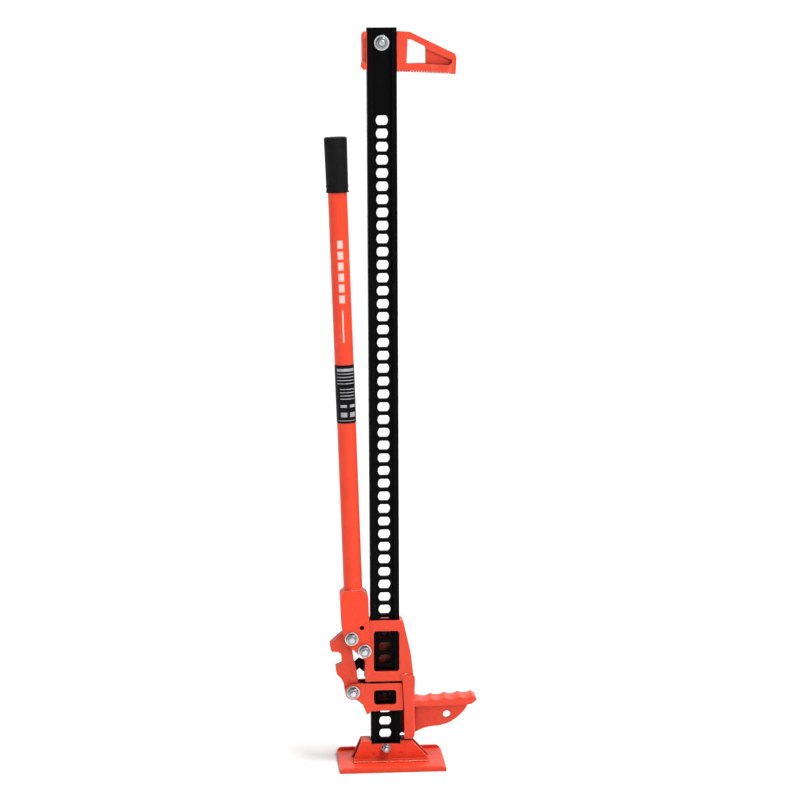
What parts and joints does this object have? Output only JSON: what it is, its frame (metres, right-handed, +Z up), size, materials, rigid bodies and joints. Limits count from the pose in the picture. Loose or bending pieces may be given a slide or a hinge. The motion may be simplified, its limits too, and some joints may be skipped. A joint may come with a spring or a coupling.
{
  "type": "toe jack",
  "caption": "Mechanical rack-bar lifting jack: a carriage with a lifting toe climbs a drilled I-section bar, worked by a long handle, on a flat base.",
  "frame": {"origin": "on the ground, on the axis of the rack bar", "axes": "+X along the lifting toe, -Y the front where the nuts are, +Y the back with the climbing pins, +Z up along the bar"},
  "size_m": [0.2487, 0.1416, 1.231],
  "materials": {
    "red_paint": "semi-gloss orange-red powder coat on castings, tube and folded steel",
    "bar_black": "satin black paint",
    "latch_black": "black oxide",
    "zinc_plate": "bright zinc plating",
    "pin_steel": "oiled black oxide on hardened steel",
    "spring_steel": "oiled spring wire",
    "grip_rubber": "matte moulded rubber",
    "label_film": "plain black film with pale bands"
  },
  "bodies": {
    "frame": {"rack_bar": "bar_black", "base_plate": "red_paint", "base_socket": "red_paint", "base_bolt": "zinc_plate", "base_washer_front": "zinc_plate", "base_washer_rear": "zinc_plate", "base_nut": "zinc_plate", "top_clamp": "red_paint", "clamp_bolt": "zinc_plate", "clamp_washer_front": "zinc_plate", "clamp_washer_rear": "zinc_plate", "clamp_nut": "zinc_plate"},
    "carriage": {"large_runner": "red_paint", "lifting_toe": "red_paint", "pivot_bolt": "zinc_plate", "pivot_washer_front": "zinc_plate", "pivot_washer_rear": "zinc_plate", "pivot_nut": "zinc_plate", "upper_pin_cap": "zinc_plate", "upper_pin_spring": "spring_steel", "latch_stud": "zinc_plate", "latch_spring": "spring_steel"},
    "handle": {"handle_socket": "red_paint", "handle_tube": "red_paint", "handle_grip": "grip_rubber", "handle_label": "label_film", "crank_bolt": "zinc_plate", "crank_washer_front": "zinc_plate", "crank_washer_rear": "zinc_plate", "crank_nut": "zinc_plate"},
    "pitman_link": {"pitman": "red_paint"},
    "climbing_runner": {"small_runner": "red_paint", "link_bolt": "zinc_plate", "link_washer_front": "zinc_plate", "link_washer_rear": "zinc_plate", "link_nut": "zinc_plate", "lower_pin_cap": "zinc_plate", "lower_pin_spring": "spring_steel"},
    "latch": {"reversing_latch": "latch_black"},
    "upper_pin": {"upper_climbing_pin": "pin_steel", "upper_cross_pin": "pin_steel"},
    "lower_pin": {"lower_climbing_pin": "pin_steel", "lower_cross_pin": "pin_steel"}
  },
  "joints": [
    {"name": "carriage_slide", "type": "slide", "parent": "frame", "child": "carriage", "axis": [0, 0, 1], "range_m": [0, 0.86]},
    {"name": "handle_pivot", "type": "hinge", "parent": "carriage", "child": "handle", "pos_m": [-0.0353, 0, 0.1982], "axis": [0, -1, 0], "range_deg": [0, 90]},
    {"name": "pitman_pivot", "type": "hinge", "parent": "handle", "child": "pitman_link", "pos_m": [-0.0568, 0, 0.2197], "axis": [0, -1, 0], "range_deg": [-90, 0]},
    {"name": "climbing_runner_slide", "type": "slide", "parent": "carriage", "child": "climbing_runner", "axis": [0, 0, 1], "range_m": [-0.043, 0]},
    {"name": "latch_pivot", "type": "hinge", "parent": "carriage", "child": "latch", "pos_m": [-0.012, 0.0355, 0.166], "axis": [0, 1, 0], "range_deg": [0, 45]},
    {"name": "upper_pin_slide", "type": "slide", "parent": "carriage", "child": "upper_pin", "axis": [0, -1, 0], "range_m": [0, 0.01], "deforming": ["upper_pin_spring"]},
    {"name": "lower_pin_slide", "type": "slide", "parent": "climbing_runner", "child": "lower_pin", "axis": [0, -1, 0], "range_m": [0, 0.01], "deforming": ["lower_pin_spring"]}
  ],
  "couplings": [
    {"joint": "pitman_pivot", "follows": "handle_pivot", "ratio": -1},
    {"joint": "climbing_runner_slide", "follows": "handle_pivot", "m_per_rad": -0.027375},
    {"joint": "upper_pin_slide", "follows": "latch_pivot", "m_per_rad": 0.012732},
    {"joint": "lower_pin_slide", "follows": "latch_pivot", "m_per_rad": 0.012732}
  ]
}
